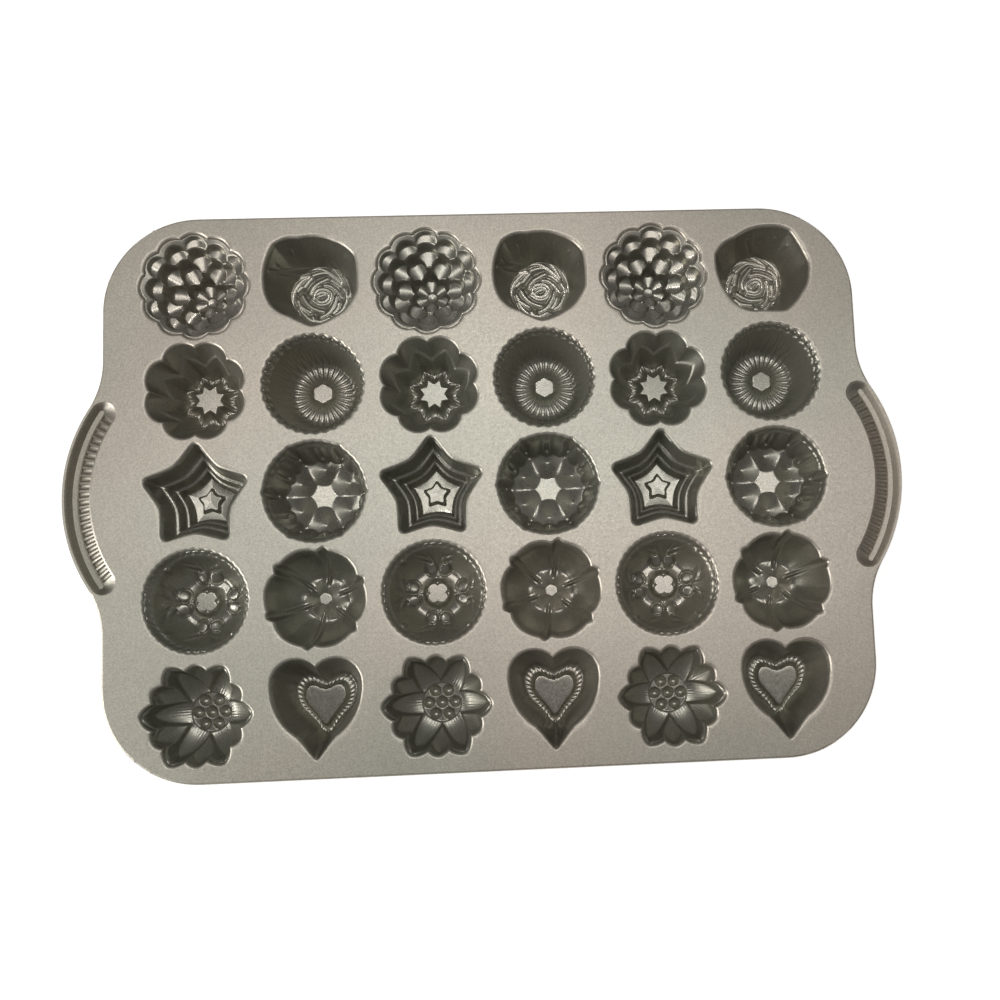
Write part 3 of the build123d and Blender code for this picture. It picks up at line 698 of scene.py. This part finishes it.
def shell_rings(grid, depth, edge, on_corner):
    """Down the outside of a cup, a wall's thickness round the well at each depth, to its foot."""
    full, wall_top = depth.max(), grid.wall_top[0]
    share = grid.radius / wall_top
    room = edge - shell_room - on_corner * lip_thickness
    rings = []
    for level in [*(d for d in shell_depths if d < full - 1.5), full]:
        widest = share[depth >= min(level, full - 0.6)].max()
        outside = np.minimum(widest * wall_top + cup_wall, room)
        rings.append((outside, level))
    underside = min(full + cup_wall, deck_top)
    for inset, rise in (*foot_rounding, (0.5 * outside, 0.0), (outside, 0.0)):
        rings.append((outside - inset, underside - rise))
    return rings


def cup_piece(name, copy):
    """One cup with the deck round it, pressed into its design."""
    cup = cups[name]
    node = f"{name}_cup_{copy + 1}"
    low, high = (np.array(corner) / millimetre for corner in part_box(node))
    column = cup.column + 2 * copy
    middle = np.array([
        (column - (columns - 1) / 2) * column_pitch + cup.shift[0],
        ((rows - 1) / 2 - cup.row) * row_pitch + cup.shift[1],
    ])
    rounded = column in (0, columns - 1) and cup.row in (0, rows - 1)
    angle = np.arange(cup.spokes) * 2 * pi / cup.spokes
    edge_angle = corner_spokes(angle, middle, low, high, rounded)
    edge, on_corner = cell_edge(edge_angle, middle, low, high, rounded)
    turned = angle - radians(cup.turns[copy])
    rim = cup.rim(turned)
    grid, depth = pressed_well(cup, turned, rim)

    rings = [(0.0, depth[0].mean()), *zip(grid.radius, depth)]
    rings += [(rim + out, down) for out, down in rim_rounding[1:]]
    rim_row, outer = len(rings) - 1, rings[-1][0]
    rings += [(outer + (edge - outer) * share, 0.0) for share in deck_shares]
    edge_row = len(rings)
    rings += edge_rings(edge, on_corner)
    shell_row = len(rings)
    rings += shell_rings(grid, depth, edge, on_corner)

    # The spokes turn to the cell's corners on the deck, and run straight again below it
    spread = np.clip((np.arange(len(rings)) - rim_row) / len(deck_shares), 0, 1)
    spread[shell_row:] = 0
    way = angle + spread[:, None] * ((edge_angle - angle + pi) % (2 * pi) - pi)
    reach, down = (np.array([np.broadcast_to(v, cup.spokes) for v in values]) for values in zip(*rings))
    skin, ring_of, spoke_of = spun_skin(len(rings), cup.spokes)
    mesh = skin.copy()
    place = (middle[0] + reach * np.cos(way), middle[1] + reach * np.sin(way), deck_top - down)
    place = np.stack([values[ring_of, spoke_of] for values in place], 1) * millimetre
    mesh.vertices.foreach_set("co", place.ravel())

    ends = np.zeros(len(mesh.edges) * 2, int)
    mesh.edges.foreach_get("vertices", ends)
    first_ring, second_ring = ring_of[ends.reshape(-1, 2)].T
    sharp_rows = (edge_row, shell_row - 3, shell_row - 2, shell_row - 1)
    sharp = (first_ring == second_ring) & np.isin(first_ring, sharp_rows)
    mesh.attributes.new("sharp_edge", "BOOLEAN", "EDGE").data.foreach_set("value", sharp)
    mesh.polygons.foreach_set("use_smooth", np.ones(len(mesh.polygons), bool))
    mesh.update()
    piece = bpy.data.objects.new(f"{name}_well_{copy + 1}", mesh)
    bpy.context.scene.collection.objects.link(piece)
    return piece, node


# Finish: champagne non-stick coating over cast aluminium
champagne, coat_roughness = (0.60, 0.565, 0.485, 1), 0.44
# Cups: a floor colour darker than the deck and a side colour darker still are painted shade of the hollows,
# not a different coating
cup_floor_painted_shade, cup_side_painted_shade, cup_roughness = (0.43, 0.41, 0.355, 1), (0.35, 0.342, 0.288, 1), 0.24
# Steep sides of a handle's thumb groove: a darker colour, as painted shade
groove_side_painted_shade = (0.40, 0.375, 0.32, 1)
cool_tint, warm_tint = (0.985, 1.0, 1.0, 1), (1.03, 0.985, 0.985, 1)

# How far below the deck the coating of a hollow starts, and where it is complete
hollow_starts, hollow_full = 0.4, 1.2

# Upward part of a face's normal, from an underside to a top side, and from level to steep
facing_down, facing_up = -0.03, 0.03
nearly_level, fully_steep = 0.98, 0.865

# Shares that are left of a hollow's smoothness on its steep sides, and of the grain inside it
steep_smoothness, hollow_grain = 0.35, 0.1


def effect_group(name, inputs, outputs):
    """A node group with named inputs and outputs, and its two end nodes."""
    group = bpy.data.node_groups.new(name, "ShaderNodeTree")
    for label, kind, value in inputs:
        socket = group.interface.new_socket(label, in_out="INPUT", socket_type=kind)
        socket.default_value = value
    for label, kind in outputs:
        group.interface.new_socket(label, in_out="OUTPUT", socket_type=kind)
    start, end = group.nodes.new("NodeGroupInput"), group.nodes.new("NodeGroupOutput")
    return group, start, end


def noise(tree, vector, scale, detail, roughness):
    node = tree.nodes.new("ShaderNodeTexNoise")
    node.inputs["Scale"].default_value = scale
    node.inputs["Detail"].default_value = detail
    node.inputs["Roughness"].default_value = roughness
    tree.links.new(vector, node.inputs["Vector"])
    return node.outputs["Fac"]


def remap(tree, value, low, high, to_low=0.0, to_high=1.0):
    node = tree.nodes.new("ShaderNodeMapRange")
    node.inputs["From Min"].default_value, node.inputs["From Max"].default_value = low, high
    node.inputs["To Min"].default_value, node.inputs["To Max"].default_value = to_low, to_high
    tree.links.new(value, node.inputs["Value"])
    return node.outputs["Result"]


def calculate(tree, operation, *values):
    """Result of a maths node on numbers or sockets."""
    node = tree.nodes.new("ShaderNodeMath")
    node.operation = operation
    for socket, value in zip(node.inputs, values):
        if isinstance(value, float):
            socket.default_value = value
        else:
            tree.links.new(value, socket)
    return node.outputs["Value"]


def mix_colour(tree, share, first, second):
    """First colour where share is 0, second where it is 1; each is a colour or a socket."""
    node = tree.nodes.new("ShaderNodeMix")
    node.data_type = "RGBA"
    tree.links.new(share, node.inputs["Factor"])
    for label, colour in (("A", first), ("B", second)):
        socket = next(s for s in node.inputs if s.name == label and s.type == "RGBA")
        if isinstance(colour, tuple):
            socket.default_value = colour
        else:
            tree.links.new(colour, socket)
    return next(s for s in node.outputs if s.type == "RGBA")


def tinted(tree, colour, tint, shade):
    """Colour times tint times shade."""
    tinting, shading = tree.nodes.new("ShaderNodeVectorMath"), tree.nodes.new("ShaderNodeVectorMath")
    tinting.operation, shading.operation = "MULTIPLY", "SCALE"
    tree.links.new(colour, tinting.inputs[0])
    tree.links.new(tint, tinting.inputs[1])
    tree.links.new(tinting.outputs["Vector"], shading.inputs[0])
    tree.links.new(shade, shading.inputs["Scale"])
    return shading.outputs["Vector"]


def coating_group():
    """Fine sandy grain and faint blotches of a sprayed coating."""
    group, start, end = effect_group(
        "sprayed_coating",
        (("Vector", "NodeSocketVector", (0, 0, 0)), ("Colour", "NodeSocketColor", (0.5, 0.5, 0.5, 1)),
         ("Roughness", "NodeSocketFloat", 0.4), ("Grain", "NodeSocketFloat", 1.0)),
        (("Colour", "NodeSocketColor"), ("Roughness", "NodeSocketFloat"), ("Height", "NodeSocketFloat")),
    )
    vector = start.outputs["Vector"]
    grain = noise(group, vector, 1500.0, 2.0, 0.6)
    speck = noise(group, vector, 700.0, 2.0, 0.5)
    blotch = noise(group, vector, 16.0, 3.0, 0.6)
    warmth = noise(group, vector, 7.0, 2.0, 0.5)
    grain_shade = remap(group, grain, 0.32, 0.68, 0.84, 1.16)
    blotch_shade = remap(group, blotch, 0.3, 0.7, 0.95, 1.05)
    shade = calculate(group, "MULTIPLY", grain_shade, blotch_shade)
    tint = mix_colour(group, remap(group, warmth, 0.42, 0.62), cool_tint, warm_tint)
    uneven = remap(group, speck, 0.3, 0.7, -0.04, 0.04)
    roughness = calculate(group, "ADD", start.outputs["Roughness"], uneven)
    height = calculate(group, "MULTIPLY", grain, start.outputs["Grain"])
    group.links.new(tinted(group, start.outputs["Colour"], tint, shade), end.inputs["Colour"])
    group.links.new(roughness, end.inputs["Roughness"])
    group.links.new(height, end.inputs["Height"])
    return group


sprayed_coating = coating_group()


def inside_bow(tree, place):
    """1 within the arc of the thumb groove along either handle, 0 outside it."""
    softness = 0.4
    outward = calculate(tree, "ABSOLUTE", place.outputs["X"])
    from_centre = calculate(tree, "SUBTRACT", outward, bow_centre * millimetre)
    spot, distance = tree.nodes.new("ShaderNodeCombineXYZ"), tree.nodes.new("ShaderNodeVectorMath")
    distance.operation = "LENGTH"
    tree.links.new(from_centre, spot.inputs["X"])
    tree.links.new(place.outputs["Y"], spot.inputs["Y"])
    tree.links.new(spot.outputs["Vector"], distance.inputs[0])
    outside = (groove_reach + softness) * millimetre
    return remap(tree, distance.outputs["Value"], outside, groove_reach * millimetre)


def coat_and_shade_hollows(tree, coordinates, coating, floor_colour, side_colour, roughness, groove):
    """Lets the coating lie smoother in cups or grooves, and paints shade there: darker cup floors, darker
    steep sides.
    """
    place, facing = tree.nodes.new("ShaderNodeSeparateXYZ"), tree.nodes.new("ShaderNodeSeparateXYZ")
    tree.links.new(coordinates.outputs["Object"], place.inputs["Vector"])
    tree.links.new(coordinates.outputs["Normal"], facing.inputs["Vector"])
    start, full = ((deck_top - depth) * millimetre for depth in (hollow_starts, hollow_full))
    inside = remap(tree, place.outputs["Z"], start, full)
    inside = calculate(tree, "MULTIPLY", inside, remap(tree, facing.outputs["Z"], facing_down, facing_up))
    if groove:
        inside = calculate(tree, "MULTIPLY", inside, inside_bow(tree, place))
    leaning = remap(tree, facing.outputs["Z"], nearly_level, fully_steep)
    steep = calculate(tree, "MULTIPLY", inside, leaning)
    # Painted shade: the hollow's floor colour inside it, then a darker colour on its steep sides
    colour = mix_colour(tree, inside, champagne, floor_colour)
    colour = mix_colour(tree, steep, colour, side_colour)
    smooth = calculate(tree, "MULTIPLY", inside, remap(tree, steep, 0.0, 1.0, 1.0, steep_smoothness))
    tree.links.new(colour, coating.inputs["Colour"])
    tree.links.new(remap(tree, smooth, 0.0, 1.0, coat_roughness, roughness), coating.inputs["Roughness"])
    tree.links.new(remap(tree, inside, 0.0, 1.0, 1.0, hollow_grain), coating.inputs["Grain"])


def coated_metal(name, hollow=None, groove=False):
    """Coated aluminium; hollow gives a hollow's floor colour and side colour, into which shade is painted,
    and its roughness.
    """
    material = bpy.data.materials.new(name)
    material.use_nodes = True
    tree = material.node_tree
    shader = tree.nodes["Principled BSDF"]
    shader.inputs["Metallic"].default_value = 0.8
    coordinates = tree.nodes.new("ShaderNodeTexCoord")
    coating = tree.nodes.new("ShaderNodeGroup")
    coating.node_tree = sprayed_coating
    coating.inputs["Colour"].default_value = champagne
    coating.inputs["Roughness"].default_value = coat_roughness
    if hollow:
        coat_and_shade_hollows(tree, coordinates, coating, *hollow, groove)
    tree.links.new(coordinates.outputs["Object"], coating.inputs["Vector"])
    bump = tree.nodes.new("ShaderNodeBump")
    bump.inputs["Strength"].default_value = 0.35
    bump.inputs["Distance"].default_value = 0.0001
    tree.links.new(coating.outputs["Height"], bump.inputs["Height"])
    tree.links.new(coating.outputs["Colour"], shader.inputs["Base Color"])
    tree.links.new(coating.outputs["Roughness"], shader.inputs["Roughness"])
    tree.links.new(bump.outputs["Normal"], shader.inputs["Normal"])
    return material


deck_coating = coated_metal("deck_coating")
cup_coating_painted_shade = coated_metal("cup_coating_painted_shade", (cup_floor_painted_shade, cup_side_painted_shade, cup_roughness))
handle_coating_painted_shade = coated_metal("handle_coating_painted_shade", (champagne, groove_side_painted_shade, coat_roughness), groove=True)

for name in cups:
    for copy in range(columns // 2):
        piece, node = cup_piece(name, copy)
        piece.data.materials.append(cup_coating_painted_shade)
        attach(piece, "root")
        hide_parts(node)

for node in ("back_rim", "front_rim", "left_handle", "right_handle",
             "back_left_corner", "back_right_corner", "front_left_corner", "front_right_corner"):
    coating = handle_coating_painted_shade if node.endswith("handle") else deck_coating
    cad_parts[node].data.materials[0] = coating


# Floor: white to the camera, with the pan's soft shadow kept
def white_floor():
    half_width, brightness = 6.0, 0.72
    bm = bmesh.new()
    bmesh.ops.create_grid(bm, x_segments=1, y_segments=1, size=half_width)
    mesh = bpy.data.meshes.new("floor")
    bm.to_mesh(mesh)
    bm.free()
    floor = bpy.data.objects.new("floor", mesh)
    bpy.context.scene.collection.objects.link(floor)
    material = bpy.data.materials.new("white_floor")
    material.use_nodes = True
    tree = material.node_tree
    shader = tree.nodes["Principled BSDF"]
    shader.inputs["Base Color"].default_value = (0.8, 0.8, 0.8, 1)
    shader.inputs["Roughness"].default_value = 0.9
    shader.inputs["Emission Color"].default_value = (1, 1, 1, 1)
    rays = tree.nodes.new("ShaderNodeLightPath").outputs
    mirrored = calculate(tree, "MAXIMUM", rays["Is Glossy Ray"], rays["Is Transmission Ray"])
    seen = calculate(tree, "MAXIMUM", rays["Is Camera Ray"], mirrored)
    level = calculate(tree, "MULTIPLY", seen, brightness)
    tree.links.new(level, shader.inputs["Emission Strength"])
    mesh.materials.append(material)


def soft_light(name, place, aim, width, height, radiance, colour):
    """Rectangular soft light; its power follows from the brightness of its face."""
    lamp = bpy.data.lights.new(name, "AREA")
    lamp.shape = "RECTANGLE"
    lamp.size, lamp.size_y = width, height
    lamp.energy = radiance * pi * width * height
    lamp.color = colour
    holder = bpy.data.objects.new(name, lamp)
    bpy.context.scene.collection.objects.link(holder)
    holder.location = place
    holder.rotation_euler = (Vector(aim) - Vector(place)).to_track_quat("-Z", "Y").to_euler()


def studio():
    """A broad soft ceiling, a small bright window behind, a panel on the left and a dim world."""
    middle, ceiling_colour, side_colour = (0, 0, 0.02), (1.0, 1.0, 0.98), (1.0, 0.99, 0.97)
    soft_light("overhead_sheet", (0.0, 0.50, 1.6), (0, 0.3, 0.02), 2.6, 0.95, 0.36, ceiling_colour)
    soft_light("ceiling_glow", (0.02, 0.20, 1.6), middle, 1.8, 0.48, 1.72, ceiling_colour)
    soft_light("back_window", (-0.11, 0.78, 1.72), middle, 0.15, 0.12, 26.0, ceiling_colour)
    soft_light("left_panel", (-1.6, -0.50, 0.70), middle, 1.0, 0.9, 5.8, side_colour)
    world = bpy.data.worlds.new("studio")
    world.use_nodes = True
    world.node_tree.nodes["Background"].inputs["Color"].default_value = (1.0, 0.995, 0.985, 1)
    world.node_tree.nodes["Background"].inputs["Strength"].default_value = 0.12
    bpy.context.scene.world = world


def photograph_camera():
    """The photograph's viewpoint, fitted to the grid of cups and the pan's outline."""
    lens = bpy.data.cameras.new("camera")
    lens.sensor_width = 36.0
    lens.lens = 28.8
    lens.shift_x, lens.shift_y = -0.0767082, 0.0579091
    lens.clip_start, lens.clip_end = 0.01, 50.0
    camera = bpy.data.objects.new("camera", lens)
    bpy.context.scene.collection.objects.link(camera)
    camera.location = (0.0253571, -0.0634208, 0.3763315 + deck_top * millimetre)
    camera.rotation_euler = (radians(4.245617), radians(-2.028271), radians(-2.228806))
    bpy.context.scene.camera = camera


white_floor()
studio()
photograph_camera()
bpy.context.scene.view_settings.view_transform = "Standard"
